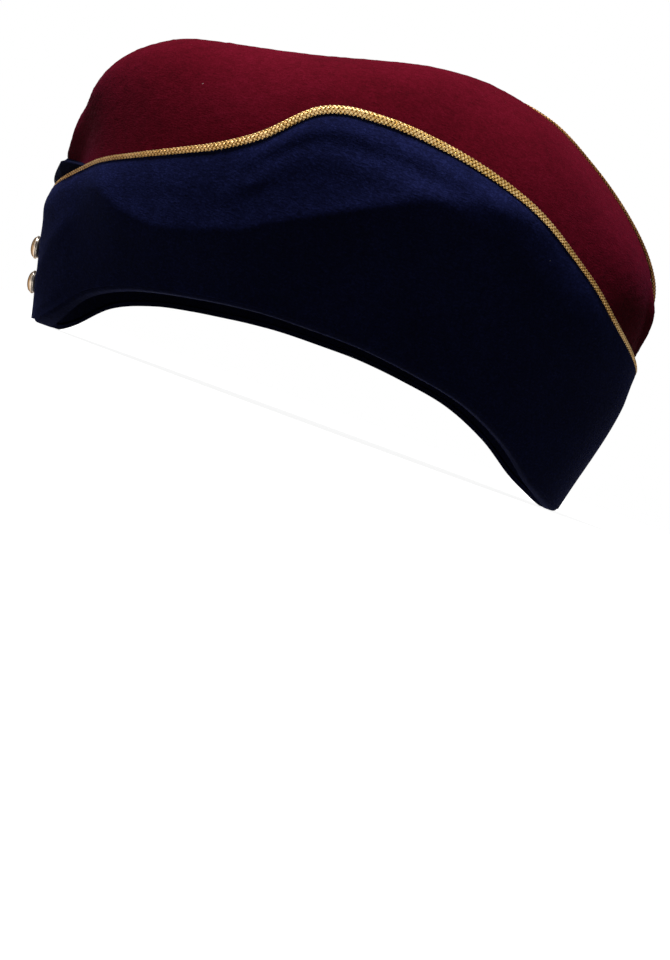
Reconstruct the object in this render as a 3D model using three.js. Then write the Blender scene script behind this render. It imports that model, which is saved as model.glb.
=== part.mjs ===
// A wool side cap: inner band, two-panel crown, turned-up flaps, cord piping, folded peak and buttons.
// Millimetres, +Z up. The front faces -X and the wearer's left is -Y. The tips of the rim rest on z = 0.
import * as THREE from "three";

const { lerp, smoothstep, clamp, degToRad } = THREE.MathUtils;

// Cloth, cord and clearances
const CROWN_CLOTH = 1.8;
const BAND_CLOTH = 2;
const FLAP_CLOTH = 2;
const PEAK_CLOTH = 1.2;
const CORD_RADIUS = 1.6;
const GAP = 0.3;

// Plan outline of the body at the rim and at the belly, the level where the wall turns upright
const RIM = { front: -109.5, rear: 109, halfWidth: 70 };
const BELLY = { front: -121, rear: 117.5, halfWidth: 76 };
const TIP_SHARPNESS = 1.15;
const WALL_FLARE = 1.25;

// The front tip of the belly is tucked in under the nose of the crown
const FRONT_TUCK = 4.5;
const FRONT_TUCK_ANGLE = 20;

// Crown roundness: how far the front and rear swell, and how wide the hollow along the ridge seam is
const NOSE_SWELL = 1.35;
const VALLEY_WIDTH = 13;

// Sections round the cap, by the angle from the front centre (0) to the rear centre (180). Heights are
// above the floor. The flap column is the centre line of the cord on the flap's edge. The valley is the
// depth of the hollow at the ridge seam. A fullness under 1 makes a broad shoulder, and over 1 a keel. The
// stand-off is the space between the body and the top of the flap.
const COLUMNS = ["angle", "rim", "belly", "flap", "ridgeX", "ridgeZ", "valley", "fullness", "standOff"];
const SECTIONS = [
  [0, 0, 47, 55.5, -125.5, 71, 0.3, 0.6, 3.1],
  [10, 0, 49, 54.5, -126, 83.8, 1.8, 0.58, 3.1],
  [20, 4.5, 53, 57.3, -125.3, 97.5, 7, 0.6, 3.1],
  [32, 16, 56, 66, -116.3, 111.4, 10, 0.64, 3.1],
  [45, 23.3, 61, 73.3, -96.3, 125.1, 9, 0.67, 3.1],
  [55, 26.8, 66, 79.2, -75, 130.7, 8, 0.7, 3],
  [63, 29, 71, 85.2, -55, 134.4, 8, 0.7, 3],
  [70, 30.8, 75, 93.3, -36, 138, 7.8, 0.7, 3],
  [78, 32.2, 81, 107.7, -16, 142.7, 6.8, 0.7, 3.2],
  [88, 32.6, 85, 111.4, 7, 147.6, 4.3, 0.75, 3.2],
  [98, 32.4, 87, 110.3, 30, 151.1, 1.2, 0.97, 3],
  [110, 30, 86, 105.8, 55.5, 146.8, 0.2, 1.16, 2.6],
  [122, 26.2, 81, 98.9, 76.7, 136.4, 0, 1.2, 2.2],
  [135, 18, 73, 88.7, 96, 123.2, 0, 1.2, 1.8],
  [148, 7.5, 64, 77.8, 111, 108.8, 0, 1.2, 1.7],
  [160, 2.2, 57, 70.8, 119, 94.8, 0, 1.2, 2.2],
  [170, 0, 52, 66.6, 120.4, 82, 0, 1.2, 2.6],
  [180, 0, 49, 64.4, 118, 69, 0, 1.2, 2.8],
].map((row) => Object.fromEntries(row.map((value, i) => [COLUMNS[i], value])));

// Stations round the cap, and rows up each piece
const STATION_STEP = 4.5;
const BAND_ROWS = 2;
const CROWN_ROWS = 9;
const FLAP_ROWS = 8;
const CORD_SIDES = 8;

// Band and flaps
const BAND_DEPTH = 46;
const RIM_STAND = 0.6;
const RIM_ROUND = 1.5;
const LIP_CLOTH = 2;
const LIP_BEND_SHARE = 0.6;
const FULL_STAND_SHARE = 0.8;
const FRONT_CENTRE_ANGLE = 0.35;
const REAR_CENTRE_ANGLE = 0.9;

// The left flap laps over the right one at the front centre, and lies against the body again further back
const LAP_ANGLE = 9;
const LAP_LIFT = FLAP_CLOTH + 3 * GAP;
const LAP_FULL_ANGLE = 10;
const LAP_END_ANGLE = 32;
const RIGHT_CORD_ANGLE = 11.7;
const REAR_CORD_ANGLE = 1.6;

// The cord in the ridge seam starts between the lobes at the front of the crown
const CROWN_CORD_ANGLE = 20;

// Front peak: a cloth tongue behind the flaps that ends in a soft roll above their cords
const PEAK_HALF_ANGLE = 31.5;
const PEAK_SEAT = 0.6;
const PEAK_FOOT = 47;
const PEAK_TOP = 66.8;
const PEAK_FALL = 4;
const PEAK_ROLL = 7.2;
const PEAK_ROLL_SHARE = 0.8;
const PEAK_ROWS = [
  { zone: "tongue", share: 0, swell: 0 },
  { zone: "tongue", share: 0.5, swell: 0 },
  { zone: "tongue", share: 1, swell: 0 },
  { zone: "roll", share: 0.1, swell: 0.75 },
  { zone: "roll", share: 0.3, swell: 1 },
  { zone: "roll", share: 0.6, swell: 0.8 },
  { zone: "roll", share: 0.85, swell: 0.4 },
  { zone: "roll", share: 1, swell: 0.05 },
];

// Buttons
const BUTTON = { radius: 4.7, rim: 0.8, dome: 2.6, shankRadius: 1.3, shank: 1.6, sides: 18, domeRows: 4 };
const BUTTON_HEIGHTS = { button_lower: 16.2, button_upper: 31.3 };

// Shift that puts the origin under the middle of the cap
const CENTRE_SHIFT = 1.915;

// Steps for the numerical slopes of the surface
const ANGLE_STEP = 0.4;
const PLACE_STEP = 0.004;

// Finishes
const MAROON_WOOL = new THREE.MeshStandardMaterial({ color: 0x5c0d1c, roughness: 0.95, metalness: 0 });
const NAVY_WOOL = new THREE.MeshStandardMaterial({ color: 0x10132e, roughness: 0.95, metalness: 0 });
const GOLD_CORD = new THREE.MeshStandardMaterial({ color: 0xb58e52, roughness: 0.5, metalness: 0.3 });
const GILT = new THREE.MeshStandardMaterial({ color: 0xb8a071, roughness: 0.35, metalness: 1 });

// Value of one column at any angle: a cubic through the rows, with each row's slope from its neighbours
function slopeAt(column, i) {
  const before = SECTIONS[Math.max(i - 1, 0)];
  const after = SECTIONS[Math.min(i + 1, SECTIONS.length - 1)];
  return (after[column] - before[column]) / (after.angle - before.angle);
}

function along(column, signedAngle) {
  const angle = Math.min(Math.abs(signedAngle), 360 - Math.abs(signedAngle));
  const next = SECTIONS.findIndex((row) => row.angle >= angle);
  const i = Math.max(next - 1, 0);
  const here = SECTIONS[i];
  const after = SECTIONS[i + 1];
  const width = after.angle - here.angle;
  const t = (angle - here.angle) / width;
  const value = (1 + 2 * t) * (1 - t) ** 2 * here[column] + t * t * (3 - 2 * t) * after[column];
  const slope = t * (1 - t) ** 2 * slopeAt(column, i) + t * t * (t - 1) * slopeAt(column, i + 1);
  return value + width * slope;
}

function rimHeight(angle) {
  return Math.max(along("rim", angle), 0);
}

// Plan point of a level: an oval drawn to soft points at the front and rear
function plan(level, angle) {
  const turn = degToRad(angle);
  const across = Math.sin(turn);
  return {
    x: lerp(level.front, level.rear, (1 - Math.cos(turn)) / 2),
    y: -level.halfWidth * Math.sign(across) * Math.abs(across) ** TIP_SHARPNESS,
  };
}

function bellyPlan(angle) {
  const { x, y } = plan(BELLY, angle);
  return { x: x + FRONT_TUCK * Math.exp(-((angle / FRONT_TUCK_ANGLE) ** 2)), y };
}

// Ridge point before the valley is pressed in, and the direction out of the cap in the centre plane
function ridge(angle) {
  const side = Math.abs(angle);
  const before = clamp(side - ANGLE_STEP, 0, 180);
  const after = clamp(side + ANGLE_STEP, 0, 180);
  const run = along("ridgeX", after) - along("ridgeX", before);
  const rise = along("ridgeZ", after) - along("ridgeZ", before);
  const out = new THREE.Vector3(-rise, 0, run).normalize();
  return { x: along("ridgeX", side), z: along("ridgeZ", side), out };
}

// Outer face of the body. Place runs from 0 at the rim through 1 at the belly to 2 at the ridge seam.
function body(angle, place) {
  const rim = plan(RIM, angle);
  const belly = bellyPlan(angle);
  const bellyZ = along("belly", angle);
  if (place <= 1) {
    const spread = 1 - (1 - Math.max(place, 0)) ** WALL_FLARE;
    const z = lerp(rimHeight(angle), bellyZ, place);
    return new THREE.Vector3(lerp(rim.x, belly.x, spread), lerp(rim.y, belly.y, spread), z);
  }
  const fullness = along("fullness", angle);
  const turn = Math.min(place - 1, 1) * Math.PI / 2;
  const level = Math.max(Math.cos(turn), 0);
  const { x, z, out } = ridge(angle);
  const point = new THREE.Vector3(
    lerp(belly.x, x, 1 - level ** (NOSE_SWELL / fullness)),
    belly.y * level ** fullness,
    lerp(bellyZ, z, Math.sin(turn) ** Math.min(fullness, 1)),
  );
  const dent = along("valley", angle) * Math.exp(-((point.y / VALLEY_WIDTH) ** 2)) * Math.sqrt(place - 1);
  return point.addScaledVector(out, -dent);
}

function normal(angle, place) {
  const round = body(angle + ANGLE_STEP, place).sub(body(angle - ANGLE_STEP, place));
  const low = clamp(place - PLACE_STEP, 0, 2);
  const high = clamp(place + PLACE_STEP, 0, 2);
  const up = body(angle, high).sub(body(angle, low));
  return round.cross(up).normalize();
}

function onBody(angle, place, offset) {
  return body(angle, place).addScaledVector(normal(angle, place), offset);
}

// Place where the body reaches a height
function placeAt(angle, height) {
  const bellyZ = along("belly", angle);
  const rimZ = rimHeight(angle);
  if (height <= bellyZ) {
    return (height - rimZ) / (bellyZ - rimZ);
  }
  const rise = Math.min((height - bellyZ) / (along("ridgeZ", angle) - bellyZ), 1);
  return 1 + Math.asin(rise ** (1 / Math.min(along("fullness", angle), 1))) * 2 / Math.PI;
}

// Angles from one end to the other, with every shared station between them
function stations(from, to) {
  const inner = [];
  for (let i = Math.ceil(from / STATION_STEP); i * STATION_STEP < to; i++) {
    if (i * STATION_STEP > from) {
      inner.push(i * STATION_STEP);
    }
  }
  return [from, ...inner, to];
}

function rows(count) {
  return Array.from({ length: count + 1 }, (_, k) => k / count);
}

// Closed solid through section loops. Each loop goes up its outer half and down its inner half. A ring
// joins its last loop to its first, and any other row of loops is closed by a ladder between the halves at
// each end.
function loft(loops, isRing = false) {
  const count = loops[0].length;
  const faces = [];
  const quad = (a, b, c, d) => faces.push(a, b, c, a, c, d);
  const spans = isRing ? loops.length : loops.length - 1;
  for (let i = 0; i < spans; i++) {
    const here = i * count;
    const next = ((i + 1) % loops.length) * count;
    for (let k = 0; k < count; k++) {
      const after = (k + 1) % count;
      quad(here + k, next + k, next + after, here + after);
    }
  }
  const last = (loops.length - 1) * count;
  for (let k = 0; k + 1 < count / 2 && !isRing; k++) {
    const partner = count - 1 - k;
    quad(k, k + 1, partner - 1, partner);
    quad(last + k, last + partner, last + partner - 1, last + k + 1);
  }
  const geometry = new THREE.BufferGeometry();
  const positions = loops.flat().flatMap((point) => point.toArray());
  geometry.setAttribute("position", new THREE.Float32BufferAttribute(positions, 3));
  geometry.setIndex(faces);
  geometry.computeVertexNormals();
  return geometry;
}

// Inner band: the wall from the folded rim to the crown seam
function bandGeometry() {
  const angles = stations(-180, 180).slice(1);
  return loft(angles.map((angle) => {
    const low = placeAt(angle, rimHeight(angle) + LIP_CLOTH + GAP);
    const high = placeAt(angle, rimHeight(angle) + BAND_DEPTH - GAP);
    const places = rows(BAND_ROWS).map((share) => lerp(low, high, share));
    const outer = places.map((place) => onBody(angle, place, 0));
    const inner = places.map((place) => onBody(angle, place, -BAND_CLOTH));
    return [...outer, ...inner.reverse()];
  }), true);
}

// Crown panel on one side, from the band seam to the ridge seam, kept clear of the centre plane
function crownGeometry(from, to) {
  const side = Math.sign(-from - to);
  const clear = (point) => point.setY(side * Math.max(side * point.y, GAP / 2));
  return loft(stations(from, to).map((angle) => {
    const low = placeAt(angle, rimHeight(angle) + BAND_DEPTH);
    const places = rows(CROWN_ROWS).map((share) => lerp(low, 2, share));
    const outer = places.map((place) => clear(onBody(angle, place, 0)));
    const inner = places.map((place) => clear(onBody(angle, place, -CROWN_CLOTH)));
    return [...outer, ...inner.reverse()];
  }));
}

// Round cord along a route. The route gives a centre, and the side direction of the cord, at each angle.
function cordGeometry(angles, route) {
  return loft(angles.map((angle) => {
    const { centre, side, tangent } = route(angle);
    const up = side.clone().cross(tangent).normalize();
    return Array.from({ length: CORD_SIDES }, (_, k) => {
      const turn = (k + 0.5) * 2 * Math.PI / CORD_SIDES;
      const point = centre.clone().addScaledVector(side, CORD_RADIUS * Math.cos(turn));
      return point.addScaledVector(up, CORD_RADIUS * Math.sin(turn));
    });
  }));
}

function ridgeRoute(angle) {
  const { out } = ridge(angle);
  const side = new THREE.Vector3(0, -1, 0);
  const centre = body(angle, 2).addScaledVector(out, CORD_RADIUS + GAP).setY(0);
  return { centre, side, tangent: out.clone().cross(side) };
}

// Flaps: a wall that stands off the body, folded at the rim into a lip under the band
function lapLift(angle) {
  return LAP_LIFT * (1 - smoothstep(angle, LAP_FULL_ANGLE, LAP_END_ANGLE));
}

function noLift() {
  return 0;
}

function flapTop(angle) {
  return placeAt(angle, along("flap", angle) - CORD_RADIUS - GAP);
}

function flapPoint(angle, place, lift, offset) {
  const share = smoothstep(place / flapTop(angle), 0, FULL_STAND_SHARE);
  const stand = lerp(RIM_STAND, along("standOff", angle), share);
  return onBody(angle, place, stand + lift + offset);
}

function flapSection(angle, lift, lipEnd) {
  const rimZ = rimHeight(angle);
  const rimOut = RIM_STAND + lift;
  const away = normal(angle, 0).setZ(0).normalize();
  const rim = body(angle, 0);
  const atRim = (out, up) => rim.clone().addScaledVector(away, out).setZ(rimZ + up);
  const wall = (startHeight, offset) => {
    const start = placeAt(angle, rimZ + startHeight);
    return rows(FLAP_ROWS).map((share) => {
      return flapPoint(angle, lerp(start, flapTop(angle), share), lift, offset);
    });
  };
  const edge = rimOut + FLAP_CLOTH;
  const corner = RIM_ROUND * (1 - Math.SQRT1_2);
  const outer = [
    atRim(lipEnd, 0),
    atRim(edge - RIM_ROUND, 0),
    atRim(edge - corner, corner),
    ...wall(RIM_ROUND, FLAP_CLOTH),
  ];
  const inner = [
    atRim(lipEnd, LIP_CLOTH),
    atRim(lerp(lipEnd, rimOut, LIP_BEND_SHARE), LIP_CLOTH),
    atRim(rimOut, LIP_CLOTH),
    ...wall(LIP_CLOTH + RIM_ROUND, 0),
  ];
  return [...outer, ...inner.reverse()];
}

function leftFlapGeometry() {
  const lapped = stations(-LAP_ANGLE, -FRONT_CENTRE_ANGLE).map((angle) => {
    return flapSection(angle, LAP_LIFT, RIM_STAND + LAP_LIFT - GAP);
  });
  const folded = stations(FRONT_CENTRE_ANGLE, 180 - REAR_CENTRE_ANGLE).map((angle) => {
    return flapSection(angle, lapLift(angle), -BAND_CLOTH);
  });
  return loft([...lapped, ...folded]);
}

function rightFlapGeometry() {
  const angles = stations(REAR_CENTRE_ANGLE - 180, -FRONT_CENTRE_ANGLE);
  return loft(angles.map((angle) => flapSection(angle, 0, -BAND_CLOTH)));
}

function flapRoute(angle, liftAt) {
  const middle = (at) => flapPoint(at, flapTop(at), liftAt(at), FLAP_CLOTH / 2);
  const tangent = middle(angle + ANGLE_STEP).sub(middle(angle - ANGLE_STEP)).normalize();
  const away = normal(angle, flapTop(angle));
  const side = away.addScaledVector(tangent, -away.dot(tangent)).normalize();
  const up = side.clone().cross(tangent);
  return { centre: middle(angle).addScaledVector(up, CORD_RADIUS + GAP), side, tangent };
}

// Front peak
function peakSection(angle) {
  const top = PEAK_TOP - PEAK_FALL * (angle / PEAK_HALF_ANGLE) ** 2;
  const cordTop = along("flap", angle) + CORD_RADIUS + 2 * GAP;
  const neck = Math.min(cordTop, top - PEAK_CLOTH);
  const roll = Math.min(PEAK_ROLL, PEAK_ROLL_SHARE * Math.max(top - cordTop, 0));
  const points = PEAK_ROWS.map(({ zone, share, swell }) => {
    const height = zone === "tongue" ? lerp(PEAK_FOOT, neck, share) : lerp(neck, top, share);
    const place = placeAt(angle, height);
    const inner = onBody(angle, place, PEAK_SEAT);
    const away = normal(angle, place).setZ(0).normalize();
    const outer = inner.clone().addScaledVector(away, PEAK_CLOTH + roll * swell);
    return { outer, inner };
  });
  return [...points.map(({ outer }) => outer), ...points.map(({ inner }) => inner).reverse()];
}

function peakGeometry() {
  return loft(stations(-PEAK_HALF_ANGLE, PEAK_HALF_ANGLE).map(peakSection));
}

// Buttons: a domed disc on a short shank, turned about +Y
function buttonGeometry() {
  const { radius, rim, dome, shankRadius, shank, sides, domeRows } = BUTTON;
  const curve = rows(domeRows).map((share) => {
    const turn = share * Math.PI / 2;
    return new THREE.Vector2(radius * Math.cos(turn), shank + rim + dome * Math.sin(turn));
  });
  curve[domeRows].x = 0;
  const profile = [
    new THREE.Vector2(0, 0),
    new THREE.Vector2(shankRadius, 0),
    new THREE.Vector2(shankRadius, shank),
    new THREE.Vector2(radius, shank),
    ...curve,
  ];
  return new THREE.LatheGeometry(profile, sides);
}

function placeButton(mesh, height) {
  const place = placeAt(0, height);
  const out = normal(0, place);
  mesh.position.copy(flapPoint(0, place, LAP_LIFT, FLAP_CLOTH + GAP));
  mesh.quaternion.setFromUnitVectors(new THREE.Vector3(0, 1, 0), out);
}

// Assembly
const cap = new THREE.Group();

function add(name, geometry, material) {
  const mesh = new THREE.Mesh(geometry, material);
  mesh.name = name;
  cap.add(mesh);
  return mesh;
}

const leftCordAngles = stations(-LAP_ANGLE, 180 - REAR_CORD_ANGLE);
const rightCordAngles = stations(REAR_CORD_ANGLE - 180, -RIGHT_CORD_ANGLE);

add("band", bandGeometry(), NAVY_WOOL);
add("crown_left", crownGeometry(0, 180), MAROON_WOOL);
add("crown_right", crownGeometry(-180, 0), MAROON_WOOL);
add("crown_piping", cordGeometry(stations(CROWN_CORD_ANGLE, 180), ridgeRoute), GOLD_CORD);
add("flap_left", leftFlapGeometry(), NAVY_WOOL);
add("flap_right", rightFlapGeometry(), NAVY_WOOL);
add("flap_piping_left", cordGeometry(leftCordAngles, (angle) => flapRoute(angle, lapLift)), GOLD_CORD);
add("flap_piping_right", cordGeometry(rightCordAngles, (angle) => flapRoute(angle, noLift)), GOLD_CORD);
add("front_peak", peakGeometry(), NAVY_WOOL);
for (const [name, height] of Object.entries(BUTTON_HEIGHTS)) {
  placeButton(add(name, buttonGeometry(), GILT), height);
}
cap.position.x = CENTRE_SHIFT;

export default cap;
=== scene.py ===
"""Looks of a wool side cap: milled cloth in maroon and navy, braided gold cord and gilt buttons."""
import math

import bpy
import numpy as np
from mathutils import Matrix, Vector


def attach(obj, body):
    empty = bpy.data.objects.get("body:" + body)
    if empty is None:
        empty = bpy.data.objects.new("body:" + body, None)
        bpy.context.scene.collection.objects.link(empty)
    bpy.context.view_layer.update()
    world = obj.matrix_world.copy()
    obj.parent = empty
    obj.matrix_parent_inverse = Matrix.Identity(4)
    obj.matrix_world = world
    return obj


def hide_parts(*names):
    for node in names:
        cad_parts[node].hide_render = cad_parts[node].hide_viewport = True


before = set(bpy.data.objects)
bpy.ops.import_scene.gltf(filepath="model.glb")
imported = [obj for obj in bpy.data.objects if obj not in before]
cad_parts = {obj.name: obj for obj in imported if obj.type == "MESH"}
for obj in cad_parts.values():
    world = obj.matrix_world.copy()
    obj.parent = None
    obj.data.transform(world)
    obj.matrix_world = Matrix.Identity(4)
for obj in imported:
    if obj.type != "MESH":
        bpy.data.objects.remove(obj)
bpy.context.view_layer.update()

# Sizes are in millimetres: the front faces -X, the wearer's left is -Y and up is +Z.
# Angles are in degrees from the front centre (0) to the rear centre (180), and positive on the wearer's left.
# A pair of values is the stretch over which something fades in or out, if no comment says otherwise.
MM = 0.001
# Shift along X from the sizes below to the frame, whose origin is in the middle of the cap's box
CENTRE_SHIFT = 1.915

# Cloth, cord and clearances
CROWN_CLOTH = 1.8
BAND_CLOTH = 2.0
FLAP_CLOTH = 2.0
PEAK_CLOTH = 1.2
PEAK_TOP_CLOTH = 0.2
CORD_RADIUS = 1.6
GAP = 0.3

# Plan outline of the body at the rim and at the belly, the level where the wall turns upright
RIM = {"front": -109.5, "rear": 109, "half_width": 70}
BELLY = {"front": -121, "rear": 117.5, "half_width": 76}
TIP_SHARPNESS = 1.15
WALL_FLARE = 1.25
FRONT_TUCK = 4.5
FRONT_TUCK_ANGLE = 20
NOSE_SWELL = 1.35
NOSE_FOOT = 2.6
NOSE_FOOT_ANGLE = 9
VALLEY_WIDTH = 13

# Sections round the cap
COLUMNS = ("angle", "rim", "belly", "flap", "ridge_x", "ridge_z", "valley", "fullness", "stand_off")
SECTIONS = np.array([
    [0, 0, 47, 52.9, -125.5, 71, 0.3, 0.6, 3.1],
    [10, 0, 49, 52.9, -126, 83.8, 1.8, 0.58, 3.1],
    [20, 4.5, 53, 57.9, -125.3, 97.5, 7, 0.6, 3.1],
    [32, 16, 56, 66.3, -116.3, 111.4, 10, 0.64, 3.1],
    [45, 23.3, 61, 73.3, -96.3, 125.1, 9, 0.67, 3.1],
    [55, 26.8, 66, 79.2, -75, 130.7, 8, 0.7, 3],
    [63, 29, 71, 85.2, -55, 134.4, 8, 0.7, 3],
    [70, 30.8, 75, 93.3, -36, 138, 7.8, 0.7, 3],
    [78, 32.2, 81, 107.7, -16, 142.7, 6.8, 0.7, 3.2],
    [88, 32.6, 85, 111.4, 7, 147.6, 4.3, 0.75, 3.2],
    [98, 32.4, 87, 110.3, 30, 151.1, 1.2, 0.97, 3],
    [110, 30, 86, 105.8, 55.5, 146.8, 0.2, 1.16, 2.6],
    [122, 26.2, 81, 98.9, 76.7, 136.4, 0, 1.2, 2.2],
    [135, 18, 73, 88.7, 96, 123.2, 0, 1.2, 1.8],
    [148, 7.5, 64, 77.8, 111, 108.8, 0, 1.2, 1.7],
    [160, 2.2, 57, 70.8, 119, 94.8, 0, 1.2, 2.2],
    [170, 0, 52, 66.6, 120.4, 82, 0, 1.2, 2.6],
    [180, 0, 49, 64.4, 118, 69, 0, 1.2, 2.8],
])

# Slow waves of the cloth: height in millimetres, then the phase for each radian round the cap, for each
# millimetre up, and at the start
WAVES = ((0.3, 5.3, 0.031, 0.7), (0.2, 9.1, -0.055, 2.1), (0.1, 16.7, 0.11, 4.0))

# Fineness of the surfaces, and the angle past which the edge between two faces is sharp
CLOTH_STATIONS = 260
CLOTH_ROWS = 64
CROWN_ROW_CROWDING = 1.3
BAND_ROWS = 16
PEAK_STATIONS = 120
PEAK_ROWS = 81
ROUND_STEPS = 7
CORD_STATIONS = 1500
BUTTON_SIDES = 48
SHARP_EDGE = 50

# Steps for the numerical slopes of the surface
ANGLE_STEP = 0.4
PLACE_STEP = 0.004


def smooth_step(low, high, value):
    """0 below low, 1 above high, and the smooth cubic 3t^2 - 2t^3 between them."""
    t = np.clip((value - low) / (high - low), 0, 1)
    return t * t * (3 - 2 * t)


def bell(value, middle, spread):
    """Gaussian bump of height 1 at middle."""
    return np.exp(-(((value - middle) / spread) ** 2))


def lerp(start, end, share):
    """Straight mix of start and end."""
    return start + (end - start) * share


def unit(vectors):
    """Vectors scaled to a length of 1."""
    return vectors / np.linalg.norm(vectors, axis=-1, keepdims=True)


def from_front(angle):
    """Angle from the front centre, alike on both sides, folded back past the rear centre."""
    side = np.abs(angle)
    return np.minimum(side, 360 - side)


def column(name, angle):
    """One column of the section table at any angles: the cubic through the rows whose slope at each row is
    the rise between its two neighbours over their angles."""
    at = SECTIONS[:, 0]
    values = SECTIONS[:, COLUMNS.index(name)]
    slopes = np.empty_like(values)
    slopes[1:-1] = (values[2:] - values[:-2]) / (at[2:] - at[:-2])
    slopes[0] = (values[1] - values[0]) / (at[1] - at[0])
    slopes[-1] = (values[-1] - values[-2]) / (at[-1] - at[-2])
    side = from_front(angle)
    i = np.clip(np.searchsorted(at, side) - 1, 0, len(at) - 2)
    width = at[i + 1] - at[i]
    t = (side - at[i]) / width
    through = (1 + 2 * t) * (1 - t) ** 2 * values[i] + t * t * (3 - 2 * t) * values[i + 1]
    lean = t * (1 - t) ** 2 * slopes[i] + t * t * (t - 1) * slopes[i + 1]
    return through + width * lean


def rim_height(angle):
    """Height of the rim, never below the floor that flattens its tips."""
    return np.maximum(column("rim", angle), 0)


def plan(level, angle):
    """Plan point of a level: an oval whose width is the sine of the angle raised to the tips' sharpness."""
    across = np.sin(np.radians(angle))
    x = lerp(level["front"], level["rear"], (1 - np.cos(np.radians(angle))) / 2)
    return x, -level["half_width"] * np.sign(across) * np.abs(across) ** TIP_SHARPNESS


def belly_plan(angle):
    """Plan point of the belly, whose front tip is tucked in under the nose of the crown by a Gaussian."""
    x, y = plan(BELLY, angle)
    return x + FRONT_TUCK * bell(angle, 0, FRONT_TUCK_ANGLE), y


def ridge_out(angle):
    """Direction out of the cap in the centre plane, square to the ridge line."""
    side = from_front(angle)
    before = np.clip(side - ANGLE_STEP, 0, 180)
    after = np.clip(side + ANGLE_STEP, 0, 180)
    run = column("ridge_x", after) - column("ridge_x", before)
    rise = column("ridge_z", after) - column("ridge_z", before)
    return unit(np.stack([-rise, np.zeros_like(run), run], -1))


def nose_swell(angle):
    """How soon the crown reaches out to the ridge's own distance: sooner at the foot of the nose, by a
    Gaussian."""
    return NOSE_SWELL + NOSE_FOOT * bell(angle, 0, NOSE_FOOT_ANGLE)


def body(angle, place):
    """Outer face of the cap's body. Place runs from 0 at the rim through 1 at the belly to 2 at the ridge
    seam. The wall flares from rim to belly. Above it the width falls as a power of a cosine and the
    height grows as a power of a sine, and a Gaussian valley is pressed in along the ridge."""
    angle, place = np.broadcast_arrays(np.asarray(angle, float), np.asarray(place, float))
    rim_x, rim_y = plan(RIM, angle)
    belly_x, belly_y = belly_plan(angle)
    belly_z = column("belly", angle)
    spread = 1 - (1 - np.clip(place, 0, 1)) ** WALL_FLARE
    lower = np.stack([
        lerp(rim_x, belly_x, spread),
        lerp(rim_y, belly_y, spread),
        lerp(rim_height(angle), belly_z, place),
    ], -1)
    rise = np.clip(place - 1, 0, 1)
    level = np.clip(np.cos(rise * np.pi / 2), 1e-9, 1)
    fullness = column("fullness", angle)
    y = belly_y * level ** fullness
    upper = np.stack([
        lerp(belly_x, column("ridge_x", angle), 1 - level ** (nose_swell(angle) / fullness)),
        y,
        lerp(belly_z, column("ridge_z", angle), np.sin(rise * np.pi / 2) ** np.minimum(fullness, 1)),
    ], -1)
    dent = column("valley", angle) * bell(y, 0, VALLEY_WIDTH) * np.sqrt(rise)
    upper = upper - ridge_out(angle) * dent[..., None]
    return np.where((place <= 1)[..., None], lower, upper)


def normal(angle, place):
    """Outward unit normal of the body, from the cross product of its slopes round and up."""
    around = body(angle + ANGLE_STEP, place) - body(angle - ANGLE_STEP, place)
    up = body(angle, np.clip(place + PLACE_STEP, 0, 2)) - body(angle, np.clip(place - PLACE_STEP, 0, 2))
    return unit(np.cross(around, up))


def level_out(angle, place):
    """Outward normal laid level, without its part up or down."""
    return unit(normal(angle, place) * np.array([1, 1, 0]))


def on_body(angle, place, offset):
    """Point of the body moved out along its normal."""
    return body(angle, place) + normal(angle, place) * np.asarray(offset)[..., None]


def place_at(angle, height):
    """Place where the body reaches a height: the inverse of the heights in body()."""
    rim_z = rim_height(angle)
    belly_z = column("belly", angle)
    rise = np.clip((height - belly_z) / (column("ridge_z", angle) - belly_z), 0, 1)
    upper = 1 + np.arcsin(rise ** (1 / np.minimum(column("fullness", angle), 1))) * 2 / np.pi
    return np.where(height <= belly_z, (height - rim_z) / (belly_z - rim_z), upper)


def soft_waves(angle, height):
    """Slow unevenness of tailored cloth: crossed sine waves, within about 1 mm."""
    a = np.radians(angle)
    return sum(size * np.sin(turning * a + rising * height + start) for size, turning, rising, start in WAVES)


# Meshes

def add_piece(name, points, faces, material, nodes, uv=None):
    """Makes one piece from points in millimetres and faces of point numbers, and rides it on the cap."""
    mesh = bpy.data.meshes.new(name)
    shifted = (points + np.array([CENTRE_SHIFT, 0, 0])) * MM
    mesh.from_pydata(shifted.tolist(), [], faces)
    mesh.polygons.foreach_set("use_smooth", np.ones(len(mesh.polygons), bool))
    if uv is not None:
        corners = np.empty(len(mesh.loops), np.int32)
        mesh.loops.foreach_get("vertex_index", corners)
        layer = mesh.uv_layers.new(name="profile")
        layer.data.foreach_set("uv", uv[corners].astype(np.float32).ravel())
    mesh.set_sharp_from_angle(angle=math.radians(SHARP_EDGE))
    mesh.materials.append(material)
    mesh.validate()
    piece = bpy.data.objects.new(name, mesh)
    bpy.context.scene.collection.objects.link(piece)
    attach(piece, "root")
    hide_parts(*nodes)
    return piece


def loft_faces(count, size, is_ring):
    """Faces of a skin over count loops of size points, each loop closed. The ends of an open row are
    closed by a ladder between the first half of the loop and its second half."""
    spans = count if is_ring else count - 1
    i, k = np.meshgrid(np.arange(spans), np.arange(size), indexing="ij")
    here, ahead = i * size, ((i + 1) % count) * size
    after = (k + 1) % size
    skin = np.stack([here + k, ahead + k, ahead + after, here + after], -1).reshape(-1, 4)
    if is_ring:
        return skin.tolist()
    rung = np.arange(size // 2 - 1)
    partner = size - 1 - rung
    last = (count - 1) * size
    first_end = np.stack([rung, rung + 1, partner - 1, partner], -1)
    last_end = np.stack([last + rung, last + partner, last + partner - 1, last + rung + 1], -1)
    return np.concatenate([skin, first_end, last_end]).tolist()


def shell_loops(outer, inner):
    """Section loops of a cloth shell: up its outer rows and down its inner rows."""
    return np.concatenate([outer, inner[:, ::-1]], 1)


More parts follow.
